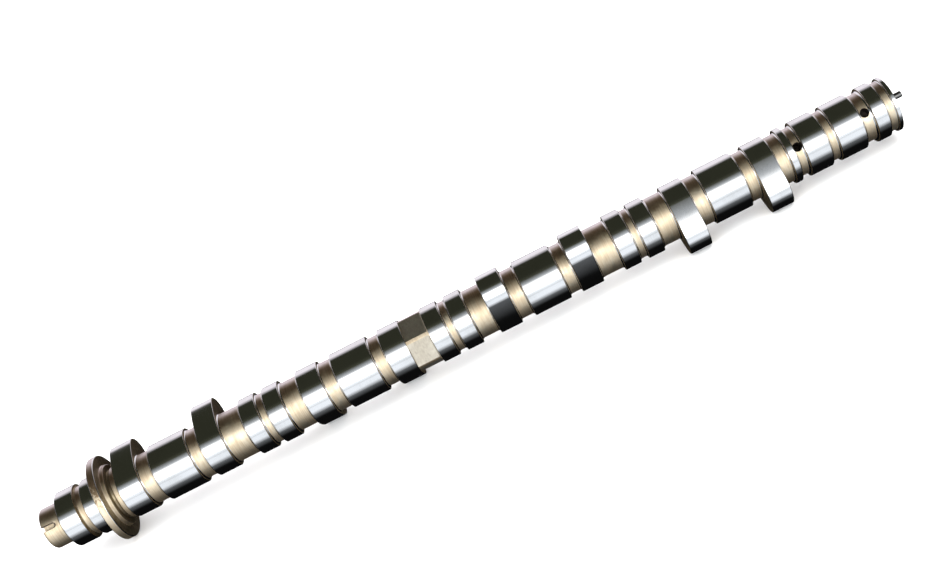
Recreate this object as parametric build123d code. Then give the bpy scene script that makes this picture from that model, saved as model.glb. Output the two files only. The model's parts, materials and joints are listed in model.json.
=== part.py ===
from build123d import *
import os
from dataclasses import dataclass
from math import cos, radians, sin, sqrt, tan

# Overhead camshaft of a four-cylinder engine: one piece of steel, with a dowel pin pressed into its front
# face. Lengths are in millimetres. The origin is where the shaft's axis meets the front face, and +X points
# out of that face. Angles go round +X from +Y, so +Z is at 90 degrees.

# Bearing journals, one behind the other, numbered from the front
journal_pitch = 93.0
journal_dia = 27.0
journal_width = 18.4

# Cam lobes, two for each cylinder, one each side of its journal
lobe_ahead = 20.4
lobe_behind = 21.3
lobe_width = 10.8
base_circle_dia = 27.0
lobe_lift = 8.0
lobe_nose_radius = 9.5
lobe_flank_radius = 60.0
firing_order = (1, 3, 4, 2)
first_lobe_angle = 218.0

# Pairs of rings between the cylinders, and what is turned down around them
ring_pair_ahead = 47.1
ring_dia = 27.2
ring_width = 8.0
ring_gap_width = 4.0
ring_gap_dia = 24.2
waist_dia = 23.8
neck_dia = 24.0

# Spanner hexagon, ahead of the third cylinder's front lobe
hexagon_cylinder = 3
hexagon_across_flats = 24.0
hexagon_corner_dia = 26.8
hexagon_corner_angle = 145.3

# Rear end: nose with its index notch, journal in two bands, thrust flange
nose_length = 10.4
nose_dia = 19.8
nose_chamfer = 1.2
notch_width = 2.2
notch_length = 6.4
notch_depth = 4.0
notch_angle = 147.0
centre_hole_dia = 5.0
centre_hole_angle = 60.0
rear_band_width = 9.0
rear_groove_width = 3.6
rear_groove_dia = 23.4
flange_band_width = 7.8
flange_width = 3.6
flange_dia = 41.0
flange_chamfer = 0.6
shoulder_width = 1.8
shoulder_dia = 30.0
undercut_width = 1.7
undercut_dia = 23.6
step_width = 2.2
step_dia = 25.2

# Front bearing: lands and grooves from the first neck to the lip at the front face
front_neck_width = 5.9
first_land_width = 3.2
rear_oil_groove_width = 4.5
second_land_width = 11.2
relief_groove_width = 4.5
relief_groove_dia = 24.0
third_land_width = 13.0
front_oil_groove_width = 5.9
oil_groove_dia = 23.4
fourth_land_width = 6.2
end_groove_width = 4.1
end_groove_dia = 24.2
lip_width = 1.9
lip_dia = 26.6
oil_hole_dia = 4.4
oil_hole_angle = 147.0

# Front face: bore for the drive's bolt, its tapped end, and the dowel hole
bolt_bore_dia = 13.0
bolt_bore_depth = 56.0
bolt_thread_dia = 10.6
bolt_thread_length = 26.0
drill_point_angle = 118.0
dowel_dia = 3.0
dowel_length = 12.2
dowel_seat = 8.0
dowel_radius = 9.3
dowel_angle = 143.0
dowel_chamfer = 0.4

# Edge breaks of the journals and rear bands, and how far the cutters run past the surface
edge_break = 0.4
tool_overrun = 1.0


@dataclass
class Section:
    """One turned length of the shaft, and the chamfer of its edges where they stand out."""
    name: str
    length: float
    dia: float
    edge: float = 0.0


def rear_end():
    return [
        Section("nose", nose_length, nose_dia, edge=nose_chamfer),
        Section("rear band", rear_band_width, journal_dia, edge=edge_break),
        Section("rear groove", rear_groove_width, rear_groove_dia),
        Section("flange band", flange_band_width, journal_dia),
        Section("flange", flange_width, flange_dia, edge=flange_chamfer),
        Section("shoulder", shoulder_width, shoulder_dia),
        Section("undercut", undercut_width, undercut_dia),
        Section("step", step_width, step_dia),
    ]


def cylinder_group():
    """A journal with the lobe behind it and the lobe ahead of it. The lobes are turned to a core here."""
    neck_behind = lobe_behind - (lobe_width + journal_width) / 2
    neck_ahead = lobe_ahead - (lobe_width + journal_width) / 2
    return [
        Section("lobe", lobe_width, neck_dia),
        Section("neck", neck_behind, neck_dia),
        Section("journal", journal_width, journal_dia, edge=edge_break),
        Section("neck", neck_ahead, neck_dia),
        Section("lobe", lobe_width, neck_dia),
    ]


def ring_group(cylinder):
    """The pair of rings ahead of a cylinder, with the waists that part them from the lobes."""
    pair_width = 2 * ring_width + ring_gap_width
    waist_behind = ring_pair_ahead - lobe_ahead - (lobe_width + pair_width) / 2
    waist_ahead = journal_pitch - ring_pair_ahead - lobe_behind - (lobe_width + pair_width) / 2
    if cylinder == hexagon_cylinder:
        behind = Section("hexagon", waist_behind, hexagon_corner_dia)
    else:
        behind = Section("waist", waist_behind, waist_dia)
    return [
        behind,
        Section("ring", ring_width, ring_dia),
        Section("ring gap", ring_gap_width, ring_gap_dia),
        Section("ring", ring_width, ring_dia),
        Section("waist", waist_ahead, waist_dia),
    ]


def front_bearing():
    return [
        Section("front neck", front_neck_width, neck_dia),
        Section("land", first_land_width, journal_dia),
        Section("oil groove", rear_oil_groove_width, oil_groove_dia),
        Section("land", second_land_width, journal_dia),
        Section("relief groove", relief_groove_width, relief_groove_dia),
        Section("land", third_land_width, journal_dia),
        Section("oil groove", front_oil_groove_width, oil_groove_dia),
        Section("land", fourth_land_width, journal_dia),
        Section("end groove", end_groove_width, end_groove_dia),
        Section("lip", lip_width, lip_dia),
    ]


def shaft_sections():
    """Every turned length in order, from the rear end to the front face."""
    sections = rear_end()
    for cylinder in range(len(firing_order), 0, -1):
        sections += cylinder_group()
        if cylinder > 1:
            sections += ring_group(cylinder)
    return sections + front_bearing()


def placed(sections):
    """Each section with the X of its rear end. The last one ends at the front face, X = 0."""
    x = -sum(section.length for section in sections)
    places = []
    for section in sections:
        places.append((x, section))
        x += section.length
    return places


def middles(places, name):
    return [x + section.length / 2 for x, section in places if section.name == name]


def turned_outline(places):
    """Closed half outline of the shaft above its axis, with the standing edges chamfered."""
    rear_x = places[0][0]
    radii = [0] + [section.dia / 2 for x, section in places] + [0]
    points = [(rear_x, 0)]
    for (x, section), behind, radius, ahead in zip(places, radii, radii[1:], radii[2:]):
        front_x = x + section.length
        rear_break = section.edge if radius > behind else 0
        front_break = section.edge if radius > ahead else 0
        corners = [
            (x, radius - rear_break),
            (x + rear_break, radius),
            (front_x - front_break, radius),
            (front_x, radius - front_break),
        ]
        for corner in corners:
            if corner != points[-1]:
                points.append(corner)
    points.append((0, 0))
    return make_face(Polyline(points, close=True))


def lobe_outline():
    """Base circle, nose and two bulged flanks tangent to both, with the nose along the first axis."""
    base = base_circle_dia / 2
    nose = lobe_nose_radius
    nose_offset = base + lobe_lift - nose
    to_base = lobe_flank_radius - base
    to_nose = lobe_flank_radius - nose
    flank_x = (to_base**2 - to_nose**2 + nose_offset**2) / (2 * nose_offset)
    flank_y = sqrt(to_base**2 - flank_x**2)

    def flank(side):
        """Ends and middle of the flank on one side, from the base circle to the nose."""
        centre = Vector(flank_x, -side * flank_y)
        nose_centre = Vector(nose_offset, 0)
        start = centre * (-base / to_base)
        end = nose_centre + (nose_centre - centre) * (nose / to_nose)
        middle = centre + ((start + end) / 2 - centre).normalized() * lobe_flank_radius
        return start, middle, end

    upper = flank(1)
    lower = flank(-1)
    edges = [
        ThreePointArc(upper[0], (-base, 0), lower[0]),
        ThreePointArc(*lower),
        ThreePointArc(lower[2], (nose_offset + nose, 0), upper[2]),
        ThreePointArc(*upper),
    ]
    return Face(Wire(edges))


def lobe():
    """One cam lobe, centred on the origin."""
    return extrude(Plane.YZ * lobe_outline(), amount=lobe_width / 2, both=True)


def lobe_angle(cylinder):
    """The lobes reach their valves in the firing order, evenly spread over one turn."""
    step = 360 / len(firing_order)
    return first_lobe_angle + step * firing_order.index(cylinder)


def lobes(places):
    """Both lobes of each cylinder. The sections run from the rear, so the last cylinder comes first."""
    single = lobe()
    solids = []
    for index, x in enumerate(middles(places, "lobe")):
        cylinder = len(firing_order) - index // 2
        solids.append(Pos(x, 0, 0) * Rot(X=lobe_angle(cylinder)) * single)
    return solids


def hexagon_chips(places):
    """What is milled off the hexagon's turned blank to leave its flats."""
    chips = []
    for x, section in places:
        if section.name == "hexagon":
            blank = Circle(hexagon_corner_dia / 2 + tool_overrun)
            flats = RegularPolygon(hexagon_across_flats / 2, 6, major_radius=False)
            tool = extrude(Plane.YZ * (blank - flats), amount=section.length)
            chips.append(Pos(x, 0, 0) * Rot(X=hexagon_corner_angle) * tool)
    return chips


def direction(angle):
    return Vector(0, cos(radians(angle)), sin(radians(angle)))


def oil_holes(places):
    """A radial drilling from the floor of each oil groove into the bolt bore."""
    reach = journal_dia / 2 + tool_overrun
    outward = direction(oil_hole_angle)
    holes = []
    for x in middles(places, "oil groove"):
        mouth = Plane(origin=(x, 0, 0), z_dir=outward) * Circle(oil_hole_dia / 2)
        holes.append(extrude(mouth, amount=reach))
    return holes


def bolt_bore():
    """Stepped bore in the front face: a plain length, then the tapped one with its drill point."""
    plain = bolt_bore_dia / 2
    tapped = bolt_thread_dia / 2
    bottom = bolt_bore_depth + bolt_thread_length
    point = tapped / tan(radians(drill_point_angle / 2))
    outline = Polyline(
        (0, 0),
        (0, plain),
        (-bolt_bore_depth, plain),
        (-bolt_bore_depth, tapped),
        (-bottom, tapped),
        (-bottom - point, 0),
        close=True,
    )
    return revolve(make_face(outline), Axis.X)


def index_notch(rear_x):
    """Notch in the side of the nose, open at the rear, with the round inner end that an end mill leaves."""
    mill_radius = notch_width / 2
    straight = notch_length - mill_radius
    path = Rectangle(straight + tool_overrun, notch_width, align=(Align.MIN, Align.CENTER))
    outline = Pos(-tool_overrun, 0) * path + Pos(straight, 0) * Circle(mill_radius)
    floor = Plane.XY.offset(nose_dia / 2 - notch_depth)
    mill = extrude(floor * outline, amount=notch_depth + tool_overrun)
    return Pos(rear_x, 0, 0) * Rot(X=notch_angle - 90) * mill


def centre_hole(rear_x):
    """Lathe centre in the rear end."""
    mouth = centre_hole_dia / 2
    depth = mouth / tan(radians(centre_hole_angle / 2))
    outline = Polyline((rear_x, 0), (rear_x, mouth), (rear_x + depth, 0), close=True)
    return revolve(make_face(outline), Axis.X)


def dowel_place():
    """Where the dowel's axis leaves the front face."""
    return Pos(*(direction(dowel_angle) * dowel_radius))


def dowel_hole():
    return dowel_place() * extrude(Plane.YZ * Circle(dowel_dia / 2), amount=-dowel_seat)


def camshaft():
    places = placed(shaft_sections())
    rear_x = places[0][0]
    shaft = revolve(turned_outline(places), Axis.X)
    shaft = shaft + lobes(places)
    cuts = hexagon_chips(places) + oil_holes(places)
    cuts += [bolt_bore(), index_notch(rear_x), centre_hole(rear_x), dowel_hole()]
    return shaft - cuts


def dowel_pin():
    """Plain pin with chamfered ends, seated on the floor of its hole."""
    pin = extrude(Plane.YZ * Circle(dowel_dia / 2), amount=dowel_length)
    pin = chamfer(pin.faces().filter_by(Axis.X).edges(), dowel_chamfer)
    return dowel_place() * Pos(-dowel_seat, 0, 0) * pin


os.makedirs("parts", exist_ok=True)
export_step(camshaft(), "parts/camshaft.step")
export_step(dowel_pin(), "parts/dowel_pin.step")
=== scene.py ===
import json
from math import atan2, cos, hypot, pi, radians, sin, sqrt, tan
from typing import NamedTuple

import bmesh
import bpy
from bpy.props import FloatProperty, FloatVectorProperty, IntProperty, PointerProperty
from mathutils import Matrix, Vector


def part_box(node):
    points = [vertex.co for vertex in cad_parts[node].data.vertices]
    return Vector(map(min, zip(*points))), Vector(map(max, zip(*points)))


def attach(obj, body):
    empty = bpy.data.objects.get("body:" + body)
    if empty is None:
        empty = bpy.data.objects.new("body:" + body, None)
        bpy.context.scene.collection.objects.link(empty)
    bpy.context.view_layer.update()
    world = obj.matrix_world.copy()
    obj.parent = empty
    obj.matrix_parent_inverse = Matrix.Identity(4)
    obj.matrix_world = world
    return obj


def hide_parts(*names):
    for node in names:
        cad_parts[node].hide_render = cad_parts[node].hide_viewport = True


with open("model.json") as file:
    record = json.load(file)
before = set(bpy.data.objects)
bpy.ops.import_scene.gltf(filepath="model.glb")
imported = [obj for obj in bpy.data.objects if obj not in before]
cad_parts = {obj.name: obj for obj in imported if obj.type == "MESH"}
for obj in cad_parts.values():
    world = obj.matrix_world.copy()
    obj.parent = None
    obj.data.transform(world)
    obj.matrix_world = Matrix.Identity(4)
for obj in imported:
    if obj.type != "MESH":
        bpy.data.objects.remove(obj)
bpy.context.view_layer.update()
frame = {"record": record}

bl_info = {
    "name": "Camshaft",
    "version": (1, 0, 0),
    "blender": (4, 5, 0),
    "location": "View3D > Sidebar > Camshaft",
    "description": "Models a ground steel camshaft and its dowel pin over the packed frame, on a stage",
    "category": "Object",
}

MM = 0.001
MOUNTS = {mount["name"]: mount for mount in frame["record"]["mounts"]}
FINISHES = ("ground_band", "turned_groove", "dark_side", "milled_flat", "drilled_wall", "stained_rim")
GROUND, TURNED, SIDE, MILLED, RECESS_SHADE, RIM = range(len(FINISHES))

# Lengths this close count as the same
TOUCH = 1e-6
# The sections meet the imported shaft's rear end within this
PACKED_FIT = 0.5 * MM
# Under each lobe the shaft keeps a ring, this much wider at each end, so that no faces coincide
LOBE_HAIR = 0.03 * MM
# A fillet takes at most these parts of a step's height and of the shorter length beside it
FOOT_OF_STEP = 0.7
FOOT_OF_LENGTH = 0.3
# A rounded edge takes at most this part of a step's height, and the grinding goes this far down it
EDGE_OF_STEP = 0.25
EDGE_GROUND = 0.75
# How far a face leans along the shaft, as the X of its normal, to count as a wall, foot or lobe side
WALL_LEAN = 0.85
FOOT_LEAN = 0.25
NOSE_FOOT_LEAN = 0.05
LOBE_SIDE_LEAN = 0.8
# A face looks along a direction when its normal has this much of it
SQUARE_ON = 0.98
# Steps along a lobe's base circle, flank, nose and other flank
LOBE_STEPS = (120, 32, 64, 32)
# The overrun of cutters and drills past the steel
OVERRUN = 2 * MM
# Faces round a drill or pin, and the chamfer of a drill's tip as a part of its diameter
DRILL_STEPS = 64
TIP_CHAMFER = 1 / 16
# The cutter of a flat: its height, and its width as a part of the size across flats
FLAT_CUTTER_HEIGHT = 4 * MM
FLAT_CUTTER_WIDTH = 0.54
# Each corner of the notch's round end takes this part of its width, just short of half
NOTCH_END = 0.49
# The mouth of the notch: its cutter's height as a multiple of the mouth's drop, and its widening per height
MOUTH_HEIGHT = 3
MOUTH_INWARDS = 2.4
MOUTH_SIDEWAYS = 1.6
# Smooth shading stops at edges sharper than this
SHARP_EDGE = radians(36)
# Tool rings and oil film: depth of the rings, range of the streaks, borders of the film, gain of the shade
RING_DEPTH = 0.02 * MM
STREAK_RANGE = (0.3, 0.7)
FILM_BORDERS = (0.85, 1.15)
SHADE_GAIN = 1.6
# Painted shade in brown along the upper front side of the grooves: its middle, up from level to the front,
# the width of its border, its values on the rim
UPPER_SHADE_MIDDLE = radians(76)
UPPER_SHADE_BORDER = 0.13
RIM_MOTTLE_AND_SHADE = {"Patch size": 1.2, "Raggedness": 1.0, "Edge": 0.72}
# Painted pale sheen on the grooves' upper side: from how far above the axis it is full, and the glancing
# range it needs
PAINTED_SHEEN_HEIGHT = 6 * MM
PAINTED_SHEEN_GLANCE = (0.3, 0.68)
# Where the softboxes fade, as the X of the direction to them, and where the lamps hang
SOFTBOX_FADE = (0.5, 0.9)
LAMPS = {"lamp_front": (-0.4, -0.8, 1.6), "lamp_rear": (0.4, 1.0, 1.5)}
SENSOR_WIDTH_MM = 36


def mount_size(name, size):
    """A mount's radius or length, in millimetres."""
    return MOUNTS[name]["dims"][size]


def length(label, millimetres, about):
    """A length property, given in millimetres and kept in metres."""
    return FloatProperty(
        name=label, description=about, default=millimetres * MM, min=0.0, precision=5,
        subtype="DISTANCE", unit="LENGTH",
    )


def angle(label, turn_deg, about):
    """An angle property. Angles round the shaft go round +X from +Y, so +Z is at 90 degrees."""
    return FloatProperty(
        name=label, description=about, default=radians(turn_deg), subtype="ANGLE", unit="ROTATION",
    )


def plain(label, value, about):
    """A property without a unit."""
    return FloatProperty(name=label, description=about, default=value)


def share(label, value, about):
    """A property from 0 to 1."""
    return FloatProperty(name=label, description=about, default=value, min=0.0, max=1.0, subtype="FACTOR")


def tint(label, red, green, blue, about):
    """A colour property. Lights go above 1."""
    return FloatVectorProperty(
        name=label, description=about, default=(red, green, blue), size=3, min=0.0, max=4.0,
        subtype="COLOR",
    )


class CamshaftSizes(bpy.types.PropertyGroup):
    """Sizes of the shaft. Journals, flange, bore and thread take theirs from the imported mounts."""
    journal_pitch: length("Journal pitch", 93.0, "From one bearing journal to the next")
    journal_dia: length("Journal diameter", 2 * mount_size("journal_1", "r_mm"), "All ground bearing bands")
    journal_width: length("Journal width", mount_size("journal_1", "length_mm"), "Ground width")

    lobe_ahead: length("Lobe ahead", 20.4, "From a journal to the lobe on its front side")
    lobe_behind: length("Lobe behind", 21.3, "From a journal to the lobe on its rear side")
    lobe_width: length("Lobe width", 10.8, "Width of a cam lobe")
    base_circle_dia: length("Base circle", 27.0, "Diameter of a lobe away from its nose")
    lobe_lift: length("Lobe lift", 8.0, "How far the nose stands above the base circle")
    lobe_nose_radius: length("Nose radius", 9.5, "Rounding of a lobe's nose")
    lobe_flank_radius: length("Flank radius", 60.0, "Bulge of a lobe's flanks")
    first_lobe_angle: angle("First lobe", 218.0, "Where the lobes of cylinder 1 point")

    ring_pair_ahead: length("Ring pair ahead", 47.1, "From a journal to the pair of rings ahead of it")
    ring_dia: length("Ring diameter", 27.2, "Ground rings between the cylinders")
    ring_width: length("Ring width", 8.0, "Width of one ring")
    ring_gap_width: length("Ring gap", 4.0, "Groove between the two rings")
    ring_gap_dia: length("Ring gap floor", 24.2, "Diameter of that groove")
    waist_dia: length("Waist diameter", 23.8, "Turned waists beside the rings")
    neck_dia: length("Neck diameter", 24.0, "Turned necks between journal and lobe")

    hexagon_flats: length("Across flats", 24.0, "Spanner size of the hexagon")
    hexagon_corner_dia: length("Hexagon corners", 26.8, "Turned diameter that rounds off its corners")
    hexagon_corner_angle: angle("Hexagon turn", 145.3, "Where one corner of the hexagon lies")
    hexagon_fillet: length("Hexagon fillet", 0.9, "Radius that the cutter leaves at the end of a flat")

    nose_length: length("Nose length", 10.4, "Notched end at the rear")
    nose_dia: length("Nose diameter", 19.8, "Notched end at the rear")
    nose_break: length("Nose chamfer", 1.2, "Broken edge of the notched end")
    notch_width: length("Notch width", 2.2, "Index notch in the side of the nose")
    notch_length: length("Notch length", 6.4, "Index notch, from the rear end inwards")
    notch_depth: length("Notch depth", 4.0, "Index notch, from the nose's surface down to its floor")
    notch_angle: angle("Notch turn", 147.0, "Direction that the notch faces")
    # The notch's mouth is a shallow flare whose walls carry a painted dark outline round the notch
    notch_mouth_drop: length("Notch wear", 0.35, "How far down the mouth of the notch is worn")
    centre_hole_dia: length("Lathe centre", 5.0, "Mouth of the lathe centre in the rear end")
    centre_hole_angle: angle("Lathe centre cone", 60.0, "Included angle of the lathe centre")
    rear_band_width: length("Rear band", 9.0, "First ground band of the rear journal")
    rear_groove_width: length("Rear groove", 3.6, "Groove between the two bands of the rear journal")
    rear_groove_dia: length("Rear groove floor", 23.4, "Diameter of that groove")
    flange_band_width: length("Flange band", 7.8, "Ground band that ends at the flange")
    flange_width: length("Flange width", mount_size("thrust_flange", "length_mm"), "Thrust flange")
    flange_dia: length("Flange diameter", 2 * mount_size("thrust_flange", "r_mm"), "Thrust flange")
    flange_break: length("Flange chamfer", 0.6, "Broken edges of the thrust flange")
    shoulder_width: length("Shoulder width", 1.8, "Raised ring on the flange's front face")
    shoulder_dia: length("Shoulder diameter", 30.0, "Raised ring on the flange's front face")
    undercut_width: length("Undercut width", 1.7, "Undercut next to the shoulder")
    undercut_dia: length("Undercut diameter", 23.6, "Undercut next to the shoulder")
    step_width: length("Step width", 2.2, "Turned step behind the last lobe")
    step_dia: length("Step diameter", 25.2, "Turned step behind the last lobe")

    front_neck_width: length("Front neck", 5.9, "From the first lobe to the front bearing")
    first_land_width: length("First land", 3.2, "Ground band of the front bearing")
    rear_oil_groove_width: length("Rear oil groove", 4.5, "Oil groove of the front bearing")
    second_land_width: length("Second land", 11.2, "Ground band of the front bearing")
    relief_groove_width: length("Relief groove", 4.5, "Groove in the middle of the front bearing")
    relief_groove_dia: length("Relief groove floor", 24.0, "Diameter of that groove")
    third_land_width: length("Third land", 13.0, "Ground band of the front bearing")
    front_oil_groove_width: length("Front oil groove", 5.9, "Oil groove of the front bearing")
    oil_groove_dia: length("Oil groove floor", 23.4, "Diameter of both oil grooves")
    fourth_land_width: length("Fourth land", 6.2, "Ground band of the front bearing")
    end_groove_width: length("End groove", 4.1, "Groove behind the lip")
    end_groove_dia: length("End groove floor", 24.2, "Diameter of that groove")
    lip_width: length("Lip width", 1.9, "Lip at the front face")
    lip_dia: length("Lip diameter", 26.6, "Lip at the front face")
    oil_hole_dia: length("Oil hole", 4.4, "Drilling from an oil groove into the bore")
    oil_hole_angle: angle("Oil hole turn", 147.0, "Direction of both oil holes")

    bolt_bore_dia: length("Bolt bore", 2 * mount_size("bolt_bore", "r_mm"), "Bore for the drive's bolt")
    bolt_bore_depth: length("Bore depth", mount_size("bolt_bore", "length_mm"), "Plain length of the bore")
    bolt_thread_dia: length("Thread", 2 * mount_size("bolt_thread", "r_mm"), "Tapped end of the bore")
    bolt_thread_length: length("Thread length", mount_size("bolt_thread", "length_mm"), "Tapped length")
    drill_point_angle: angle("Drill point", 118.0, "Included angle at the bottom of the bore")
    dowel_seat: length("Dowel seat", 8.0, "How deep the dowel pin is pressed in")
    dowel_break: length("Dowel chamfer", 0.4, "Broken ends of the dowel pin")

    edge_break: length("Edge break", 0.4, "Rounded edges of the ground bands and lobes")
    groove_fillet: length("Groove fillet", 1.6, "Fillet at the foot of the turned grooves")
    press_gap: length("Press gap", 0.02, "Room round the dowel pin, so that it and its hole share no faces")
    turn_steps: IntProperty(name="Steps round", description="Faces round the shaft", default=160, min=48)


class CamshaftLooks(bpy.types.PropertyGroup):
    """Colours and finish of the steel."""
    ground_colour: tint("Ground steel", 0.86, 0.87, 0.88, "Polished bands")
    ground_shade: tint("Ground shade", 0.74, 0.75, 0.75, "Polished bands where a film of oil dulls them")
    ground_roughness: share("Ground roughness", 0.11, "Polished bands")
    turned_colour: tint("Turned steel", 0.93, 0.83, 0.65, "Satin grooves, straw coloured")
    turned_shade: tint("Turned shade", 0.70, 0.57, 0.40, "Satin grooves where the straw colour is darker")
    # Painted shade: the brown that darkens the upper front side of the grooves
    upper_shade_colour: tint("Stain", 0.52, 0.44, 0.38, "Brown stain along the upper side of the grooves")
    # Painted sheen: the pale colour that the grooves' upper side takes at a glancing angle
    painted_sheen_colour: tint("Glancing colour", 0.98, 0.90, 0.90, "Satin grooves seen at a glancing angle")
    turned_roughness: share("Turned roughness", 0.43, "Satin grooves")
    side_colour: tint("Dark sides", 0.47, 0.40, 0.27, "Sides of the lobes and of the flange")
    side_shade: tint("Side stain", 0.29, 0.23, 0.15, "Brown stain on those sides")
    side_roughness: share("Side roughness", 0.42, "Sides of the lobes and of the flange")
    milled_colour: tint("Milled steel", 0.80, 0.74, 0.62, "Hexagon flats and index notch")
    milled_shade: tint("Milled shade", 0.62, 0.56, 0.46, "Hexagon flats between the cutter's marks")
    milled_roughness: share("Milled roughness", 0.42, "Hexagon flats and index notch")
    # Painted shade: bores, oil holes and the notch's walls are near black for the shade inside them
    drilled_colour: tint("Drilled steel", 0.16, 0.13, 0.11, "Walls of bores and oil holes")
    drilled_roughness: share("Drilled roughness", 0.5, "Walls of bores and oil holes")
    pin_colour: tint("Pin steel", 0.20, 0.20, 0.20, "Hardened dowel pin")
    pin_roughness: share("Pin roughness", 0.34, "Hardened dowel pin")


class CamshaftStage(bpy.types.PropertyGroup):
    """Camera, floor and studio light."""
    view_height: angle("View height", 27.0, "How far the camera looks down on the shaft")
    view_roll: angle("View roll", 26.9, "How steeply the shaft rises across the picture")
    view_distance: length("View distance", 640.0, "From the camera to the shaft's axis")
    view_foot: length("View foot", 179.9, "From the front face back to where the camera is nearest")
    lens: plain("Lens", 53.4, "Focal length in millimetres")
    crop_across: plain("Crop across", -0.0741, "Trimmed picture: its middle lies left of the lens axis")
    crop_up: plain("Crop up", -0.0136, "Trimmed picture: its middle lies below the lens axis")
    floor_size: length("Floor", 6000.0, "Side of the floor")
    floor_lean: angle("Floor lean", 0.6, "Lean of the shaft as it rests on its flange and lobes")
    floor_roll: angle("Floor roll", 0.4, "Lean of the floor across the shaft")
    floor_colour: tint("Floor colour", 0.93, 0.93, 0.93, "Pale paper under the shaft")
    front_glow: tint("Front glow", 1.00, 1.04, 1.09, "Softbox in front of the shaft, low down")
    front_core: tint("Front core", 3.0, 3.0, 2.95, "Brightest part of the softbox in front")
    rear_glow: tint("Rear glow", 0.98, 0.92, 0.97, "Softbox behind the shaft")
    ceiling: tint("Ceiling", 0.027, 0.028, 0.018, "Dark ceiling between the softboxes")
    ground: tint("Ground", 0.004, 0.004, 0.004, "Dark surroundings below the softboxes")
    box_end: share("Softbox end", 0.5, "How bright the softboxes still are past the ends of the shaft")
    lamp_strength: plain("Lamp strength", 4.4, "How strong each lamp is")
    lamp_spread: angle("Lamp spread", 110.0, "How broad each lamp is")


class Section(NamedTuple):
    """One turned length of the shaft, with the rounding of its standing edges."""
    name: str
    start: float
    end: float
    radius: float
    edge: float


def shaft_sections(sizes):
    """Every turned length in order, from the rear end to the front face at X = 0."""
    journal = sizes.journal_dia
    neck = sizes.neck_dia
    half_group = (sizes.lobe_width + sizes.journal_width) / 2
    half_pair = (sizes.lobe_width + 2 * sizes.ring_width + sizes.ring_gap_width) / 2
    waist_behind = sizes.ring_pair_ahead - sizes.lobe_ahead - half_pair
    waist_ahead = sizes.journal_pitch - sizes.ring_pair_ahead - sizes.lobe_behind - half_pair

    lobe_ring = sizes.base_circle_dia - 2 * sizes.edge_break
    cylinder = [
        ("lobe", sizes.lobe_width, lobe_ring),
        ("neck", sizes.lobe_behind - half_group, neck),
        ("journal", sizes.journal_width, journal),
        ("neck", sizes.lobe_ahead - half_group, neck),
        ("lobe", sizes.lobe_width, lobe_ring),
    ]
    rings = [
        ("ring", sizes.ring_width, sizes.ring_dia),
        ("ring gap", sizes.ring_gap_width, sizes.ring_gap_dia),
        ("ring", sizes.ring_width, sizes.ring_dia),
        ("waist", waist_ahead, sizes.waist_dia),
    ]
    waist = [("waist", waist_behind, sizes.waist_dia)]
    hexagon = [("hexagon", waist_behind, sizes.hexagon_corner_dia)]
    rear = [
        ("nose", sizes.nose_length, sizes.nose_dia),
        ("rear band", sizes.rear_band_width, journal),
        ("rear groove", sizes.rear_groove_width, sizes.rear_groove_dia),
        ("flange band", sizes.flange_band_width, journal),
        ("flange", sizes.flange_width, sizes.flange_dia),
        ("shoulder", sizes.shoulder_width, sizes.shoulder_dia),
        ("undercut", sizes.undercut_width, sizes.undercut_dia),
        ("step", sizes.step_width, sizes.step_dia),
    ]
    front = [
        ("front neck", sizes.front_neck_width, neck),
        ("land", sizes.first_land_width, journal),
        ("oil groove", sizes.rear_oil_groove_width, sizes.oil_groove_dia),
        ("land", sizes.second_land_width, journal),
        ("relief groove", sizes.relief_groove_width, sizes.relief_groove_dia),
        ("land", sizes.third_land_width, journal),
        ("oil groove", sizes.front_oil_groove_width, sizes.oil_groove_dia),
        ("land", sizes.fourth_land_width, journal),
        ("end groove", sizes.end_groove_width, sizes.end_groove_dia),
        ("lip", sizes.lip_width, sizes.lip_dia),
    ]
    rows = rear + cylinder + waist + rings + cylinder + hexagon + rings
    rows += cylinder + waist + rings + cylinder + front

    breaks = {"nose": sizes.nose_break, "flange": sizes.flange_break, "lobe": 0.0}
    start = -sum(width for name, width, dia in rows)
    rear_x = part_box("camshaft")[0][0]
    if abs(start - rear_x) > PACKED_FIT:
        raise RuntimeError(f"the sections start at {start:.4f} m, the packed shaft at {rear_x:.4f} m")
    sections = []
    for name, width, dia in rows:
        sections.append(Section(name, start, start + width, dia / 2, breaks.get(name, sizes.edge_break)))
        start += width
    return sections


def middles(sections, name):
    """Where the sections of one name have their middles."""
    return [(section.start + section.end) / 2 for section in sections if section.name == name]


def deselect():
    """Back to object mode with nothing selected."""
    if bpy.context.object and bpy.context.object.mode != "OBJECT":
        bpy.ops.object.mode_set(mode="OBJECT")
    bpy.ops.object.select_all(action="DESELECT")


def activate(obj):
    """Selects one object alone."""
    deselect()
    obj.select_set(True)
    bpy.context.view_layer.objects.active = obj


def edit(obj, mode="VERT"):
    """Opens one object in edit mode with nothing selected."""
    activate(obj)
    bpy.ops.object.mode_set(mode="EDIT")
    bpy.ops.mesh.select_mode(type=mode)
    bpy.ops.mesh.select_all(action="DESELECT")


def select_where(obj, kind, test):
    """Selects the vertices, edges or faces of the edited mesh that pass the test."""
    mesh = bmesh.from_edit_mesh(obj.data)
    for element in getattr(mesh, kind):
        element.select_set(bool(test(element)))
    mesh.select_flush_mode()
    bmesh.update_edit_mesh(obj.data)


def single_vertex(name, place):
    """A new mesh of one selected vertex, left in edit mode, to draw an outline from."""
    deselect()
    bpy.ops.mesh.primitive_plane_add(size=MM, location=(0, 0, 0))
    obj = bpy.context.object
    obj.name = obj.data.name = name
    edit(obj)
    bpy.ops.mesh.select_all(action="SELECT")
    bpy.ops.mesh.merge(type="CENTER")
    bpy.ops.transform.translate(value=place)
    return obj


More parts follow.
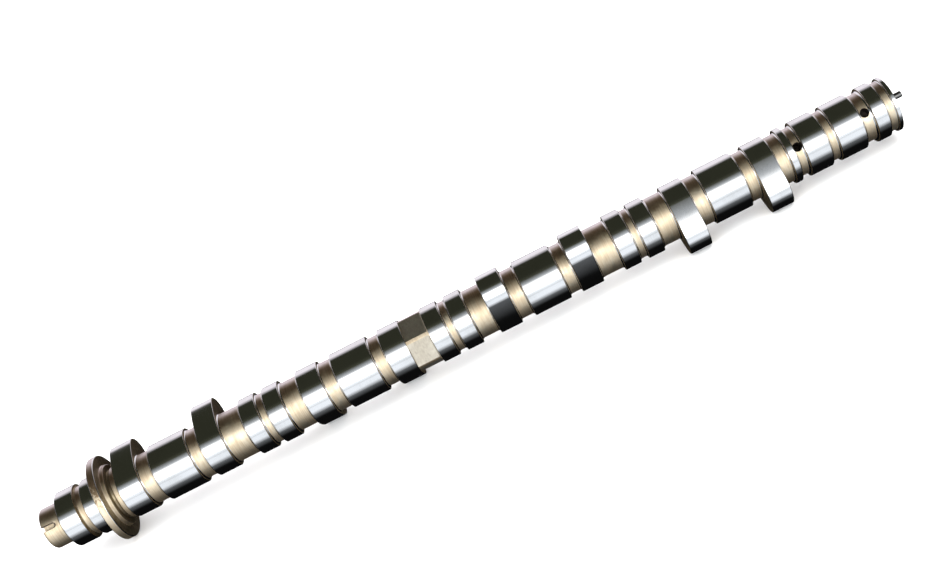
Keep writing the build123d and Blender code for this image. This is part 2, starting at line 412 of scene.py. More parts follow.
def round_off(affect, offset, segments):
    """Rounds the selected edges or vertices of the edited mesh."""
    bpy.ops.mesh.bevel(offset_type="OFFSET", offset=offset, segments=segments, profile=0.5, affect=affect)


def along_section(edge):
    """Whether an edge lies across the shaft, in a section of it."""
    return abs(edge.verts[0].co.x - edge.verts[1].co.x) < TOUCH


def close_mesh(merge=2e-6):
    """Merges the doubles of the edited mesh and turns its faces outwards."""
    bpy.ops.mesh.select_all(action="SELECT")
    bpy.ops.mesh.remove_doubles(threshold=merge)
    bpy.ops.mesh.normals_make_consistent(inside=False)


def give_finishes(obj, finish_of):
    """Gives the piece every finish of the shaft, and each face the one that finish_of names."""
    bpy.ops.object.mode_set(mode="OBJECT")
    for finish in FINISHES:
        obj.data.materials.append(bpy.data.materials[finish])
    for face in obj.data.polygons:
        face.material_index = finish_of(face)


def apply_transform(obj):
    """Puts an object's place and turn into its mesh."""
    activate(obj)
    bpy.ops.object.transform_apply(location=True, rotation=True, scale=True)


def copies(obj, places):
    """Copies of a piece with their own meshes, each turned about X and moved, joined into one object."""
    pieces = []
    for place, turn in places:
        activate(obj)
        bpy.ops.object.duplicate(linked=False)
        piece = bpy.context.object
        piece.rotation_euler.x = turn
        piece.location = place
        apply_transform(piece)
        pieces.append(piece)
    bpy.data.objects.remove(obj)
    deselect()
    for piece in pieces:
        piece.select_set(True)
    bpy.context.view_layer.objects.active = pieces[0]
    if len(pieces) > 1:
        bpy.ops.object.join()
    return pieces[0]


def combine(body, tool, operation):
    """Adds a piece to the body or cuts it away, and removes it."""
    activate(body)
    bpy.ops.object.modifier_add(type="BOOLEAN")
    modifier = body.modifiers[-1]
    modifier.operation = operation
    modifier.solver = "EXACT"
    modifier.object = tool
    before = len(body.data.polygons)
    bpy.ops.object.modifier_apply(modifier=modifier.name)
    if len(body.data.polygons) == before:
        raise RuntimeError(f"{operation} with {tool.name} changed nothing")
    bpy.data.objects.remove(tool)


def outline_corners(sections, sizes):
    """Corners of the turned outline from the lathe centre round to the drill point: x, radius, rounding.

    Under each lobe the shaft keeps a ring, a hair wider than the lobe so that no faces coincide with it.
    """
    rear_x = sections[0].start
    mouth = sizes.centre_hole_dia / 2
    corners = [(rear_x + mouth / tan(sizes.centre_hole_angle / 2), 0, 0), (rear_x, mouth, 0)]
    corners.append((rear_x, sections[0].radius, sections[0].edge))
    for behind, ahead in zip(sections, sections[1:]):
        height = abs(ahead.radius - behind.radius)
        if height < TOUCH:
            continue
        x = ahead.start
        if ahead.name == "lobe":
            x -= LOBE_HAIR
        elif behind.name == "lobe":
            x += LOBE_HAIR
        shorter = min(behind.end - behind.start, ahead.end - ahead.start)
        foot = min(sizes.groove_fillet, FOOT_OF_STEP * height, FOOT_OF_LENGTH * shorter)
        if behind.radius > ahead.radius:
            corners += [(x, behind.radius, min(behind.edge, EDGE_OF_STEP * height)), (x, ahead.radius, foot)]
        else:
            corners += [(x, behind.radius, foot), (x, ahead.radius, min(ahead.edge, EDGE_OF_STEP * height))]
    front = sections[-1]
    bore = sizes.bolt_bore_dia / 2
    tapped = sizes.bolt_thread_dia / 2
    bottom = -sizes.bolt_bore_depth - sizes.bolt_thread_length
    corners += [
        (front.end, front.radius, front.edge),
        (front.end, bore, 0),
        (-sizes.bolt_bore_depth, bore, 0),
        (-sizes.bolt_bore_depth, tapped, 0),
        (bottom, tapped, 0),
        (bottom - tapped / tan(sizes.drill_point_angle / 2), 0, 0),
    ]
    return corners


def draw_outline(corners):
    """The turned outline above the axis: a chain of edges with its corners rounded."""
    outline = single_vertex("camshaft_body", (corners[0][0], 0, corners[0][1]))
    for here, there in zip(corners, corners[1:]):
        step = (there[0] - here[0], 0, there[1] - here[1])
        bpy.ops.mesh.extrude_vertices_move(TRANSFORM_OT_translate={"value": step})
    digits = 7
    for rounding in sorted({round(value, digits) for x, r, value in corners if value > 0}):
        places = [Vector((x, 0, r)) for x, r, value in corners if round(value, digits) == rounding]
        select_where(outline, "verts", lambda v: any((v.co - place).length < TOUCH for place in places))
        round_off("VERTICES", rounding, segments=4)
    return outline


def turned_finish(sections, sizes):
    """Which finish a face of the turned body has: ground bands, grooves with bright feet, dark walls."""
    ground = {"rear band", "flange band", "journal", "ring", "land", "lip"}
    bright_feet = {"flange", "neck", "waist", "ring gap", "front neck"}
    bright_feet |= {"oil groove", "relief groove", "end groove"}
    near = 0.1 * MM
    bore = sizes.bolt_bore_dia / 2 + near
    bore_end = -sizes.bolt_bore_depth - 2 * sizes.bolt_thread_length
    rear_x = sections[0].start

    def finish(face):
        x, y, z = face.center
        radius = hypot(y, z)
        # Painted shade: the walls of the bore are near black
        if x > bore_end and radius < bore:
            return RECESS_SHADE
        section = min(sections, key=lambda s: max(s.start - x, x - s.end))
        if section.name in ground and radius > section.radius - EDGE_GROUND * section.edge:
            return GROUND
        # Painted shade: the whole undercut takes the dark finish, for the shade in it
        if section.name == "undercut":
            return SIDE
        if abs(face.normal.x) > WALL_LEAN and rear_x + near < x < -near:
            return SIDE
        # Painted shade on the rear groove's wall that faces the front
        if face.normal.x > FOOT_LEAN and section.name == "rear groove":
            return SIDE
        # The front half of the nose's foot, next to the rear band, takes the dark finish too
        front_half = x > (section.start + section.end) / 2
        if face.normal.x < -NOSE_FOOT_LEAN and section.name == "nose" and front_half:
            return SIDE
        if abs(face.normal.x) > FOOT_LEAN and section.name in bright_feet:
            return GROUND
        if section.name == "flange":
            return RIM
        return TURNED

    return finish


def turn_body(sections, sizes):
    """Spins the rounded outline once about the shaft's axis."""
    body = draw_outline(outline_corners(sections, sizes))
    bpy.ops.mesh.select_all(action="SELECT")
    bpy.ops.mesh.spin(steps=sizes.turn_steps, angle=2 * pi, center=(0, 0, 0), axis=(1, 0, 0))
    close_mesh()
    give_finishes(body, turned_finish(sections, sizes))
    return body


def spin_arc(centre, start, end, steps):
    """Draws an arc on from the selected vertex. The three points are given across the shaft, as (y, z)."""
    first = atan2(start[1] - centre[1], start[0] - centre[0])
    last = atan2(end[1] - centre[1], end[0] - centre[0])
    sweep = (last - first) % (2 * pi)
    bpy.ops.mesh.spin(steps=steps, angle=-sweep, center=(0, centre[0], centre[1]), axis=(1, 0, 0))


def lobe_arcs(sizes):
    """Centre, start and end of a lobe's four arcs, which run into each other, with the nose along +Y."""
    base = sizes.base_circle_dia / 2
    nose = sizes.lobe_nose_radius
    flank = sizes.lobe_flank_radius
    nose_y = base + sizes.lobe_lift - nose
    flank_y = ((flank - base) ** 2 - (flank - nose) ** 2 + nose_y**2) / (2 * nose_y)
    flank_z = sqrt((flank - base) ** 2 - flank_y**2)
    middle = Vector((0, 0))
    nose_centre = Vector((nose_y, 0))

    def ends(flank_centre):
        on_base = -flank_centre * (base / (flank - base))
        on_nose = nose_centre + (nose_centre - flank_centre) * (nose / (flank - nose))
        return on_base, on_nose

    upper_centre, lower_centre = Vector((flank_y, -flank_z)), Vector((flank_y, flank_z))
    upper_base, upper_nose = ends(upper_centre)
    lower_base, lower_nose = ends(lower_centre)
    return [
        (middle, upper_base, lower_base),
        (lower_centre, lower_base, lower_nose),
        (nose_centre, lower_nose, upper_nose),
        (upper_centre, upper_nose, upper_base),
    ]


def model_lobe(sizes):
    """One lobe about the origin: its outline drawn in arcs, filled and drawn out, its edges rounded."""
    arcs = lobe_arcs(sizes)
    half = sizes.lobe_width / 2
    start = arcs[0][1]
    lobe = single_vertex("lobe", (0, start[0], start[1]))
    for (centre, first, last), steps in zip(arcs, LOBE_STEPS):
        spin_arc(centre, first, last, steps)
    bpy.ops.mesh.select_all(action="SELECT")
    bpy.ops.mesh.remove_doubles(threshold=1e-5)
    bpy.ops.mesh.edge_face_add()
    bpy.ops.transform.translate(value=(-half, 0, 0))
    bpy.ops.mesh.extrude_region_move(TRANSFORM_OT_translate={"value": (sizes.lobe_width, 0, 0)})
    close_mesh(TOUCH)
    bpy.ops.mesh.select_mode(type="EDGE")
    select_where(lobe, "edges", along_section)
    round_off("EDGES", sizes.edge_break, segments=3)
    give_finishes(lobe, lambda face: SIDE if abs(face.normal.x) > LOBE_SIDE_LEAN else GROUND)
    return lobe


def lobe_places(sections, sizes):
    """Where the lobes sit and how each is turned. Cylinders fire 1, 3, 4, 2, and the last is rearmost."""
    quarters = {1: 0, 3: 1, 4: 2, 2: 3}
    places = []
    for index, x in enumerate(middles(sections, "lobe")):
        cylinder = len(quarters) - index // 2
        places.append(((x, 0, 0), sizes.first_lobe_angle + quarters[cylinder] * pi / 2))
    return places


def model_block(name, dimensions, middle):
    """A block of a size at a place, open to pick its edges."""
    deselect()
    bpy.ops.mesh.primitive_cube_add(size=1, location=(0, 0, 0))
    block = bpy.context.object
    block.name = name
    block.dimensions = dimensions
    block.location = middle
    apply_transform(block)
    edit(block, "EDGE")
    return block


def model_flat_cutter(sections, sizes):
    """The cutters of the six flats: a block, wider than a flat, with a rounded foot, copied round."""
    hexagon = next(section for section in sections if section.name == "hexagon")
    reach = hexagon.end - hexagon.start
    under_lobe = sizes.lobe_width / 8
    floor = sizes.hexagon_flats / 2
    dimensions = (reach + under_lobe, FLAT_CUTTER_HEIGHT, FLAT_CUTTER_WIDTH * sizes.hexagon_flats)
    cutter = model_block("flat_cutter", dimensions, (-under_lobe / 2, floor + FLAT_CUTTER_HEIGHT / 2, 0))

    def front_foot(edge):
        return all(abs(v.co.y - floor) < TOUCH and v.co.x > 0 for v in edge.verts)

    select_where(cutter, "edges", front_foot)
    round_off("EDGES", sizes.hexagon_fillet, segments=4)
    give_finishes(cutter, lambda face: MILLED)
    middle = (hexagon.start + hexagon.end) / 2
    turns = [sizes.hexagon_corner_angle + radians(30 + 60 * flat) for flat in range(6)]
    return copies(cutter, [((middle, 0, 0), turn) for turn in turns])


def model_notch_cutter(sections, sizes):
    """The end mill's path into the side of the nose: a block with a round inner end and a flared mouth."""
    floor = sizes.nose_dia / 2 - sizes.notch_depth
    wall = sizes.notch_depth - sizes.notch_mouth_drop
    rise = MOUTH_HEIGHT * sizes.notch_mouth_drop
    widening = 1 + MOUTH_SIDEWAYS * rise / sizes.notch_width
    dimensions = (sizes.notch_length + OVERRUN, wall, sizes.notch_width)
    middle = ((sizes.notch_length - OVERRUN) / 2, floor + wall / 2, 0)
    cutter = model_block("notch_cutter", dimensions, middle)

    def inner_upright(edge):
        upright = abs(edge.verts[0].co.y - edge.verts[1].co.y) > MM
        return upright and all(v.co.x > 0 for v in edge.verts)

    select_where(cutter, "edges", inner_upright)
    round_off("EDGES", NOTCH_END * sizes.notch_width, segments=12)
    edit(cutter, "FACE")
    select_where(cutter, "faces", lambda face: face.normal.y > SQUARE_ON)
    bpy.ops.mesh.extrude_region_move(TRANSFORM_OT_translate={"value": (MOUTH_INWARDS * rise, rise, 0)})
    bpy.ops.transform.resize(value=(1, 1, widening), center_override=(0, 0, 0))
    close_mesh(TOUCH)
    # Painted shade: the notch's walls and flared mouth are near black, a dark outline round the notch; its
    # floor stays turned steel
    give_finishes(cutter, lambda face: TURNED if face.normal.y < -SQUARE_ON else RECESS_SHADE)
    return copies(cutter, [((sections[0].start, 0, 0), sizes.notch_angle)])


def model_drill(name, dia, reach, along):
    """A drill of one diameter, with a chamfered tip that stays clear of what it doesn't cut."""
    deselect()
    turn = (0, pi / 2, 0) if along == "X" else (-pi / 2, 0, 0)
    bpy.ops.mesh.primitive_cylinder_add(vertices=DRILL_STEPS, radius=dia / 2, depth=reach, rotation=turn)
    drill = bpy.context.object
    drill.name = name
    apply_transform(drill)
    edit(drill, "EDGE")
    axis = 0 if along == "X" else 1
    select_where(drill, "edges", lambda edge: all(v.co[axis] < 0 for v in edge.verts))
    round_off("EDGES", TIP_CHAMFER * dia, segments=1)
    # Painted shade: the walls that a drill leaves are near black
    give_finishes(drill, lambda face: RECESS_SHADE)
    return drill


def model_oil_drills(sections, sizes):
    """A drill at each oil groove, from the shaft's axis to half the overrun outside a journal."""
    reach = (sizes.journal_dia + OVERRUN) / 2
    drill = model_drill("oil_drill", sizes.oil_hole_dia, reach, "Y")
    outward = Vector((0, cos(sizes.oil_hole_angle), sin(sizes.oil_hole_angle))) * reach / 2
    places = [(Vector((x, 0, 0)) + outward, sizes.oil_hole_angle) for x in middles(sections, "oil groove")]
    return copies(drill, places)


def dowel_box():
    """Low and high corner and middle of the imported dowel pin."""
    low, high = (Vector(corner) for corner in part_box("dowel_pin"))
    return low, high, (low + high) / 2


def model_dowel_drill(sizes):
    """The drill for the dowel pin's hole, which starts at the pin's inner end."""
    low, high, middle = dowel_box()
    reach = sizes.dowel_seat + OVERRUN
    drill = model_drill("dowel_drill", high.y - low.y + 2 * sizes.press_gap, reach, "X")
    return copies(drill, [((low.x + reach / 2, middle.y, middle.z), 0)])


def finish_shading(obj):
    """Smooth faces that keep their sharp edges, with the large faces setting the normals."""
    activate(obj)
    bpy.ops.object.shade_smooth_by_angle(angle=SHARP_EDGE)
    bpy.ops.object.modifier_add(type="WEIGHTED_NORMAL")
    modifier = obj.modifiers[-1]
    modifier.mode = "FACE_AREA"
    modifier.weight = 100
    modifier.keep_sharp = True
    bpy.ops.object.modifier_apply(modifier=modifier.name)


class ToolMarks(NamedTuple):
    """What tools and handling leave on a finish. Pitch, streak and patch are in millimetres."""
    look: str
    pitch: float
    streak: float
    patch: float
    cover: float
    spread: float
    relief: float


TOOL_MARKS = {
    "ground_band": ToolMarks(
        "ground", pitch=0.12, streak=8.0, patch=18.0, cover=0.45, spread=0.02, relief=0.10),
    "turned_groove": ToolMarks(
        "turned", pitch=0.45, streak=7.0, patch=11.0, cover=0.6, spread=0.06, relief=0.55),
    "dark_side": ToolMarks(
        "side", pitch=0.5, streak=3.0, patch=3.0, cover=0.62, spread=0.06, relief=0.5),
    "milled_flat": ToolMarks(
        "milled", pitch=0.8, streak=2.0, patch=5.0, cover=0.55, spread=0.05, relief=0.4),
    "drilled_wall": ToolMarks(
        "drilled", pitch=0.3, streak=4.0, patch=4.0, cover=0.5, spread=0.05, relief=0.5),
    "dowel_steel": ToolMarks(
        "pin", pitch=0.2, streak=3.0, patch=3.0, cover=0.5, spread=0.04, relief=0.2),
}


def feed(tree, socket, value):
    """Links a socket to another node's output, or sets it to a plain value."""
    if isinstance(value, bpy.types.NodeSocket):
        tree.links.new(value, socket)
    else:
        socket.default_value = value


def node(tree, kind, place, inputs=None, **settings):
    """A new node with its settings, and with its inputs fed by name."""
    made = tree.nodes.new(kind)
    made.location = place
    for key, value in settings.items():
        setattr(made, key, value)
    for label, value in (inputs or {}).items():
        feed(tree, made.inputs[label], value)
    return made


def math_node(tree, place, operation, *values, clamp=False):
    """The result of a math node over plain values and other nodes' outputs."""
    made = node(tree, "ShaderNodeMath", place, operation=operation, use_clamp=clamp)
    for socket, value in zip(made.inputs, values):
        feed(tree, socket, value)
    return made.outputs["Value"]


def vector_node(tree, place, operation, *values):
    """A vector math node over plain vectors and other nodes' outputs."""
    made = node(tree, "ShaderNodeVectorMath", place, operation=operation)
    for socket, value in zip(made.inputs, values):
        feed(tree, socket, value)
    return made


def map_range(tree, place, value, source, target=(0.0, 1.0), interpolation="SMOOTHSTEP"):
    """A value that is spread from one range over another."""
    inputs = {"Value": value, "From Min": source[0], "From Max": source[1]}
    inputs |= {"To Min": target[0], "To Max": target[1]}
    made = node(tree, "ShaderNodeMapRange", place, inputs, interpolation_type=interpolation)
    return made.outputs["Result"]


def on_piece(tree, place):
    """Where a point lies on the piece itself."""
    return node(tree, "ShaderNodeTexCoord", place).outputs["Object"]


def new_group(name, inputs, outputs):
    """A node group with float inputs and outputs."""
    tree = bpy.data.node_groups.new(name, "ShaderNodeTree")
    for label, value in inputs.items():
        socket = tree.interface.new_socket(name=label, in_out="INPUT", socket_type="NodeSocketFloat")
        socket.default_value = value
    for label in outputs:
        tree.interface.new_socket(name=label, in_out="OUTPUT", socket_type="NodeSocketFloat")
    return tree, node(tree, "NodeGroupInput", (-900, 0)), node(tree, "NodeGroupOutput", (700, 0))


def patch_noise(tree, entry, place, **settings):
    """Noise over the piece, in patches of the size that the group is given."""
    size = math_node(tree, (-700, 0), "MULTIPLY", entry.outputs["Patch size"], MM)
    scale = math_node(tree, (-500, 0), "DIVIDE", 1.0, size)
    inputs = {"Vector": place, "Scale": scale, **settings}
    return node(tree, "ShaderNodeTexNoise", (-300, 0), inputs, noise_dimensions="3D").outputs["Fac"]


def lathe_rings_group():
    """Rings that a tool leaves round the shaft: their height, and streaks that follow them for a while."""
    inputs = {"Pitch": 0.4, "Streak length": 12.0}
    tree, entry, out = new_group("Lathe rings", inputs, ("Height", "Streaks"))
    split = node(tree, "ShaderNodeSeparateXYZ", (-700, 300), {"Vector": on_piece(tree, (-900, 300))})
    pitch = math_node(tree, (-700, 0), "MULTIPLY", entry.outputs["Pitch"], MM)
    reach = math_node(tree, (-700, -200), "MULTIPLY", entry.outputs["Streak length"], MM)
    place = {
        "X": math_node(tree, (-500, 300), "DIVIDE", split.outputs["X"], pitch),
        "Y": math_node(tree, (-500, -100), "DIVIDE", split.outputs["Y"], reach),
        "Z": math_node(tree, (-500, -300), "DIVIDE", split.outputs["Z"], reach),
    }
    along = {"W": place["X"], "Scale": 1.0, "Detail": 3.0}
    rings = node(tree, "ShaderNodeTexNoise", (-300, 300), along, noise_dimensions="1D")
    join = node(tree, "ShaderNodeCombineXYZ", (-300, -100), place)
    drawn_out = {"Vector": join.outputs["Vector"], "Scale": 1.0, "Detail": 2.0}
    streaks = node(tree, "ShaderNodeTexNoise", (-100, -100), drawn_out, noise_dimensions="3D")
    tree.links.new(rings.outputs["Fac"], out.inputs["Height"])
    tree.links.new(streaks.outputs["Fac"], out.inputs["Streaks"])
    return tree


def oil_film_group():
    """Where a film of oil and handling has dulled the steel: soft patches."""
    tree, entry, out = new_group("Oil film", {"Patch size": 14.0, "Cover": 0.5}, ("Film",))
    patches = patch_noise(tree, entry, on_piece(tree, (-900, 300)), Detail=4.0, Roughness=0.6)
    cover = entry.outputs["Cover"]
    borders = [math_node(tree, (-200, -150), "SUBTRACT", border, cover) for border in FILM_BORDERS]
    tree.links.new(map_range(tree, (0, 200), patches, borders), out.inputs["Film"])
    return tree


def painted_upper_shade_group():
    """Painted shade: where the grooves are darkened to brown, along the shaft's upper front side, with a
    ragged border.
    """
    inputs = {"Patch size": 6.0, "Raggedness": 0.2, "Edge": 0.86}
    tree, entry, out = new_group("Brown stain", inputs, ("Stain",))
    place = on_piece(tree, (-900, 300))
    across = vector_node(tree, (-700, 300), "MULTIPLY", place, (0, 1, 1)).outputs["Vector"]
    outward = vector_node(tree, (-500, 300), "NORMALIZE", across).outputs["Vector"]
    middle = (0, -cos(UPPER_SHADE_MIDDLE), sin(UPPER_SHADE_MIDDLE))
    upward = vector_node(tree, (-300, 300), "DOT_PRODUCT", outward, middle).outputs["Value"]
    centred = math_node(tree, (-100, 0), "SUBTRACT", patch_noise(tree, entry, place), 0.5)
    ragged = math_node(tree, (-100, 150), "MULTIPLY_ADD", centred, entry.outputs["Raggedness"], upward)
    full = math_node(tree, (-100, -150), "ADD", entry.outputs["Edge"], UPPER_SHADE_BORDER)
    stain = map_range(tree, (100, 150), ragged, (entry.outputs["Edge"], full))
    tree.links.new(stain, out.inputs["Stain"])
    return tree


def steel_material(name, colour, shade, roughness, marks):
    """Steel with tool rings and an oil film, in two tones of its colour, or in one if it has no shade."""
    material = bpy.data.materials.new(name)
    material.use_nodes = True
    tree = material.node_tree
    groups = bpy.data.node_groups
    shader = tree.nodes["Principled BSDF"]
    shader.inputs["Metallic"].default_value = 1.0
    turning = {"Pitch": marks.pitch, "Streak length": marks.streak}
    rings = node(tree, "ShaderNodeGroup", (-900, 100), turning, node_tree=groups["Lathe rings"])
    handling = {"Patch size": marks.patch, "Cover": marks.cover}
    oil = node(tree, "ShaderNodeGroup", (-900, -200), handling, node_tree=groups["Oil film"])
    streaks = rings.outputs["Streaks"]
    film = oil.outputs["Film"]

    if shade is None:
        shader.inputs["Base Color"].default_value = (*colour, 1)
    else:
        worn = math_node(tree, (-700, 300), "MULTIPLY", streaks, film)
        tone = math_node(tree, (-550, 300), "MULTIPLY", worn, SHADE_GAIN, clamp=True)
        tones = {"Factor": tone, "A": (*colour, 1), "B": (*shade, 1)}
        mix = node(tree, "ShaderNodeMix", (-350, 300), tones, data_type="RGBA")
        tree.links.new(mix.outputs["Result"], shader.inputs["Base Color"])

    ends = (roughness - marks.spread, roughness + marks.spread)
    rough = map_range(tree, (-550, 0), streaks, STREAK_RANGE, ends, "LINEAR")
    dulled = math_node(tree, (-350, 0), "MULTIPLY_ADD", film, marks.spread, rough)
    tree.links.new(dulled, shader.inputs["Roughness"])
    relief = {"Strength": marks.relief, "Distance": RING_DEPTH, "Height": rings.outputs["Height"]}
    bump = node(tree, "ShaderNodeBump", (-350, -300), relief)
    tree.links.new(bump.outputs["Normal"], shader.inputs["Normal"])
    return material


def lay_over(material, part, colour, blend):
    """Lays a colour over a steel's own where the part is 1."""
    tree = material.node_tree
    base = tree.nodes["Principled BSDF"].inputs["Base Color"]
    layers = {"Factor": part, "A": base.links[0].from_socket, "B": (*colour, 1)}
    mix = node(tree, "ShaderNodeMix", (-150, 450), layers, data_type="RGBA", blend_type=blend)
    tree.links.new(mix.outputs["Result"], base)


def painted_upper_sheen(material, colour):
    """Painted sheen: lets a steel's colour give way to a paler one where its upper side is seen at a
    glancing angle.
    """
    tree = material.node_tree
    split = node(tree, "ShaderNodeSeparateXYZ", (-700, 900), {"Vector": on_piece(tree, (-900, 900))})
    upper = math_node(tree, (-500, 900), "DIVIDE", split.outputs["Z"], PAINTED_SHEEN_HEIGHT, clamp=True)
    glance = node(tree, "ShaderNodeLayerWeight", (-550, 600), {"Blend": 0.5})
    glancing = map_range(tree, (-350, 600), glance.outputs["Facing"], PAINTED_SHEEN_GLANCE)
    lay_over(material, math_node(tree, (-150, 700), "MULTIPLY", glancing, upper), colour, "MIX")


def make_finishes(looks):
    """Every finish of the shaft and of its pin, once."""
    lathe_rings_group()
    oil_film_group()
    for name, marks in TOOL_MARKS.items():
        colour = getattr(looks, f"{marks.look}_colour")
        shade = getattr(looks, f"{marks.look}_shade", None)
        steel_material(name, colour, shade, getattr(looks, f"{marks.look}_roughness"), marks)
    turned = bpy.data.materials["turned_groove"]
    # Painted shade: the grooves' upper front side is darkened to brown
    group = painted_upper_shade_group()
    stain = node(turned.node_tree, "ShaderNodeGroup", (-550, 800), node_tree=group, name="stain")
    lay_over(turned, stain.outputs["Stain"], looks.upper_shade_colour, "MULTIPLY")
    painted_upper_sheen(turned, looks.painted_sheen_colour)
    # The flange's rim takes the grooves' finish with its brown broken into fine speckles: the speckles are
    # the rim's mottling, the darker upper side is painted shade and the pale upper side at a glance is
    # painted sheen
    rim = turned.copy()
    rim.name = "stained_rim"
    for label, value in RIM_MOTTLE_AND_SHADE.items():
        rim.node_tree.nodes["stain"].inputs[label].default_value = value


class CAMSHAFT_OT_finishes(bpy.types.Operator):
    """Makes the steel finishes that the shaft and its pin share"""
    bl_idname = "camshaft.finishes"
    bl_label = "Steel finishes"

    def execute(self, context):
        make_finishes(context.scene.camshaft_looks)
        return {"FINISHED"}


class CAMSHAFT_OT_body(bpy.types.Operator):
    """Turns the shaft, mills its hexagon and notch, joins the ground lobes and drills the holes"""
    bl_idname = "camshaft.body"
    bl_label = "Camshaft body"

    def execute(self, context):
        sizes = context.scene.camshaft_sizes
        sections = shaft_sections(sizes)
        body = turn_body(sections, sizes)
        combine(body, model_flat_cutter(sections, sizes), "DIFFERENCE")
        combine(body, copies(model_lobe(sizes), lobe_places(sections, sizes)), "UNION")
        combine(body, model_notch_cutter(sections, sizes), "DIFFERENCE")
        combine(body, model_oil_drills(sections, sizes), "DIFFERENCE")
        combine(body, model_dowel_drill(sizes), "DIFFERENCE")
        finish_shading(body)
        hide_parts("camshaft")
        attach(body, "root")
        return {"FINISHED"}


class CAMSHAFT_OT_dowel(bpy.types.Operator):
    """Models the dowel pin that is pressed into the front face"""
    bl_idname = "camshaft.dowel"
    bl_label = "Dowel pin"

    def execute(self, context):
        sizes = context.scene.camshaft_sizes
        low, high, middle = dowel_box()
        deselect()
        bpy.ops.mesh.primitive_cylinder_add(
            vertices=DRILL_STEPS, radius=(high.y - low.y) / 2, depth=high.x - low.x,
            location=middle, rotation=(0, pi / 2, 0),
        )
        pin = bpy.context.object
        pin.name = pin.data.name = "dowel_pin_ground"
        apply_transform(pin)
        edit(pin, "EDGE")
        select_where(pin, "edges", along_section)
        round_off("EDGES", sizes.dowel_break, segments=3)
        bpy.ops.object.mode_set(mode="OBJECT")
        pin.data.materials.append(bpy.data.materials["dowel_steel"])
        finish_shading(pin)
        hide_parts("dowel_pin")
        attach(pin, "root")
        return {"FINISHED"}


def floor_material(colour):
    """Plain pale paper."""
    material = bpy.data.materials.new("pale_paper")
    material.use_nodes = True
    shader = material.node_tree.nodes["Principled BSDF"]
    shader.inputs["Base Color"].default_value = (*colour, 1)
    shader.inputs["Roughness"].default_value = 0.9
    shader.inputs["Specular IOR Level"].default_value = 0.1
    return material


def lay_floor(stage):
    """A floor that touches the shaft from below, with the lean and roll it has under the resting shaft."""
    body = bpy.data.objects["camshaft_body"]
    turn = Matrix.Rotation(-stage.floor_lean, 3, "Y") @ Matrix.Rotation(-stage.floor_roll, 3, "X")
    normal = turn @ Vector((0, 0, 1))
    place = normal * min(normal.dot(vertex.co) for vertex in body.data.vertices)
    deselect()
    bpy.ops.mesh.primitive_plane_add(size=stage.floor_size, location=place, rotation=turn.to_euler())
    floor = bpy.context.object
    floor.name = "floor"
    floor.data.materials.append(floor_material(stage.floor_colour))
    floor.visible_glossy = False


def ramp_stops(ramp, stops):
    """Sets a ramp over one turn, from stops of an angle in degrees and a colour."""
    while len(ramp.elements) > 1:
        ramp.elements.remove(ramp.elements[-1])
    for index, (turn_deg, colour) in enumerate(stops):
        place = (turn_deg + 180) / 360
        element = ramp.elements[0] if index == 0 else ramp.elements.new(place)
        element.position = place
        element.color = (*colour, 1)


def dimmed(colour, part):
    """A part of a light's colour."""
    return tuple(part * channel for channel in colour)


def studio_stops(stage):
    """What surrounds the shaft, by the angle round it in degrees: 0 is level to the front and 90 is up."""
    front, core, rear = stage.front_glow, stage.front_core, stage.rear_glow
    ceiling, ground = stage.ceiling, stage.ground
    return [
        (-180, rear), (-170, ground), (-70, ground),
        (-48, dimmed(front, 0.12)), (-31, front), (-14, front), (-11, dimmed(front, 0.72)), (-7, front),
        (-2, front), (7, core), (26, core), (40, dimmed(front, 0.5)),
        (56, dimmed(ceiling, 2)), (68, ceiling), (129, ceiling), (148, rear), (180, rear),
    ]


def light_world(stage):
    """Two long softboxes along the shaft, one low in front and one behind, under a dark ceiling.

    They fade past the ends of the shaft, and the picture's own ground is white.
    """
    world = bpy.data.worlds.new("studio")
    bpy.context.scene.world = world
    world.use_nodes = True
    tree = world.node_tree
    tree.nodes.clear()
    place = node(tree, "ShaderNodeTexCoord", (-1100, 0)).outputs["Generated"]
    split = node(tree, "ShaderNodeSeparateXYZ", (-900, 0), {"Vector": place})
    ahead = math_node(tree, (-700, -100), "MULTIPLY", split.outputs["Y"], -1.0)
    turn = math_node(tree, (-500, 0), "ARCTAN2", split.outputs["Z"], ahead)
    part = math_node(tree, (-300, 0), "MULTIPLY_ADD", turn, 1 / (2 * pi), 0.5)
    ramp = node(tree, "ShaderNodeValToRGB", (-100, 0), {"Fac": part})
    ramp_stops(ramp.color_ramp, studio_stops(stage))
    endways = math_node(tree, (-500, -300), "ABSOLUTE", split.outputs["X"])
    fade = map_range(tree, (-100, -300), endways, SOFTBOX_FADE, (1.0, stage.box_end))
    glow = {"Color": ramp.outputs["Color"], "Strength": fade}
    studio = node(tree, "ShaderNodeBackground", (200, 100), glow)
    white = node(tree, "ShaderNodeBackground", (200, -100), {"Color": (1, 1, 1, 1)})
    path = node(tree, "ShaderNodeLightPath", (200, 400))
    pick = node(tree, "ShaderNodeMixShader", (450, 100))
    choices = (path.outputs["Is Camera Ray"], studio.outputs[0], white.outputs[0])
    for socket, choice in zip(pick.inputs, choices):
        tree.links.new(choice, socket)
    node(tree, "ShaderNodeOutputWorld", (650, 100), {"Surface": pick.outputs[0]})


def hang_light(stage, name, place):
    """A broad soft light that lights the floor evenly but doesn't show in the steel."""
    deselect()
    bpy.ops.object.light_add(type="SUN", location=place)
    lamp = bpy.context.object
    lamp.name = name
    lamp.data.energy = stage.lamp_strength
    lamp.data.angle = stage.lamp_spread
    lamp.rotation_euler = Vector(place).to_track_quat("Z", "Y").to_euler()
    lamp.visible_glossy = False


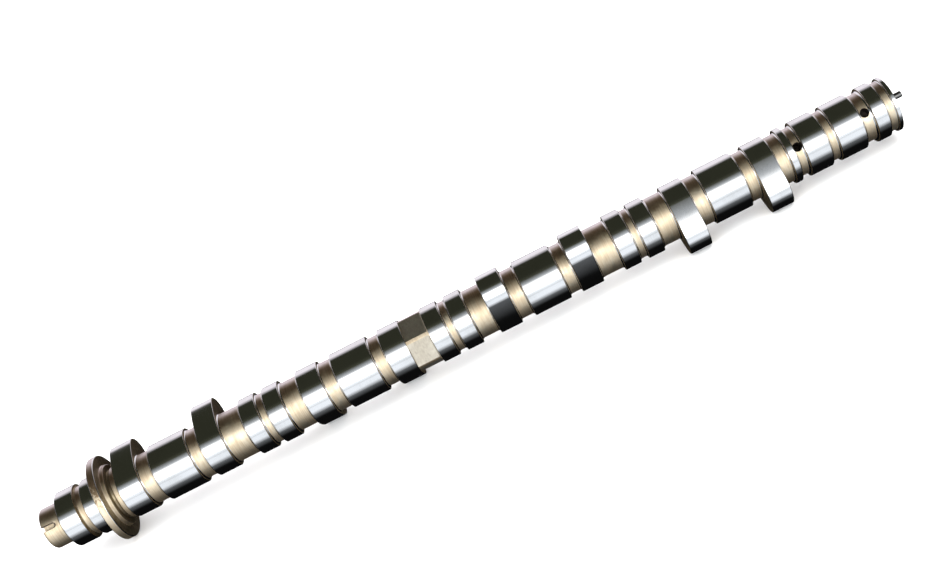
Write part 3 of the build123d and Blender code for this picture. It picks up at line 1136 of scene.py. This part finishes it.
def aim_camera(stage):
    """A camera square to the shaft, rolled so that the shaft rises across the picture."""
    along = Vector((1, 0, 0))
    toward = Vector((0, -cos(stage.view_height), sin(stage.view_height)))
    above = Vector((0, sin(stage.view_height), cos(stage.view_height)))
    right = along * cos(stage.view_roll) - above * sin(stage.view_roll)
    up = along * sin(stage.view_roll) + above * cos(stage.view_roll)
    deselect()
    bpy.ops.object.camera_add(location=toward * stage.view_distance - along * stage.view_foot)
    camera = bpy.context.object
    camera.name = "photo_camera"
    camera.rotation_euler = Matrix((right, up, toward)).transposed().to_euler()
    camera.data.sensor_fit = "HORIZONTAL"
    camera.data.sensor_width = SENSOR_WIDTH_MM
    camera.data.lens = stage.lens
    camera.data.shift_x = stage.crop_across
    camera.data.shift_y = stage.crop_up
    camera.data.clip_start = 10 * MM
    bpy.context.scene.camera = camera


class CAMSHAFT_OT_stage(bpy.types.Operator):
    """Lays the floor, sets the studio light and aims the camera"""
    bl_idname = "camshaft.stage"
    bl_label = "Stage"

    def execute(self, context):
        stage = context.scene.camshaft_stage
        lay_floor(stage)
        light_world(stage)
        for name, place in LAMPS.items():
            hang_light(stage, name, place)
        aim_camera(stage)
        context.scene.view_settings.view_transform = "Standard"
        return {"FINISHED"}


class CAMSHAFT_PT_panel(bpy.types.Panel):
    """Lists the steps and the sizes of the camshaft"""
    bl_label = "Camshaft"
    bl_idname = "CAMSHAFT_PT_panel"
    bl_space_type = "VIEW_3D"
    bl_region_type = "UI"
    bl_category = "Camshaft"

    def draw(self, context):
        layout = self.layout
        for step in STEPS:
            layout.operator(step.bl_idname)
        for name in GROUPS:
            group = getattr(context.scene, name)
            box = layout.box()
            for size in group.__annotations__:
                box.prop(group, size)


GROUPS = {"camshaft_sizes": CamshaftSizes, "camshaft_looks": CamshaftLooks, "camshaft_stage": CamshaftStage}
STEPS = (CAMSHAFT_OT_finishes, CAMSHAFT_OT_body, CAMSHAFT_OT_dowel, CAMSHAFT_OT_stage)


def register():
    for name, group in GROUPS.items():
        bpy.utils.register_class(group)
        setattr(bpy.types.Scene, name, PointerProperty(type=group))
    for step in STEPS:
        bpy.utils.register_class(step)
    bpy.utils.register_class(CAMSHAFT_PT_panel)


def unregister():
    bpy.utils.unregister_class(CAMSHAFT_PT_panel)
    for step in reversed(STEPS):
        bpy.utils.unregister_class(step)
    for name, group in GROUPS.items():
        delattr(bpy.types.Scene, name)
        bpy.utils.unregister_class(group)


def main():
    register()
    bpy.ops.camshaft.finishes()
    bpy.ops.camshaft.body()
    bpy.ops.camshaft.dowel()
    bpy.ops.camshaft.stage()
    deselect()


if __name__ == "__main__":
    main()
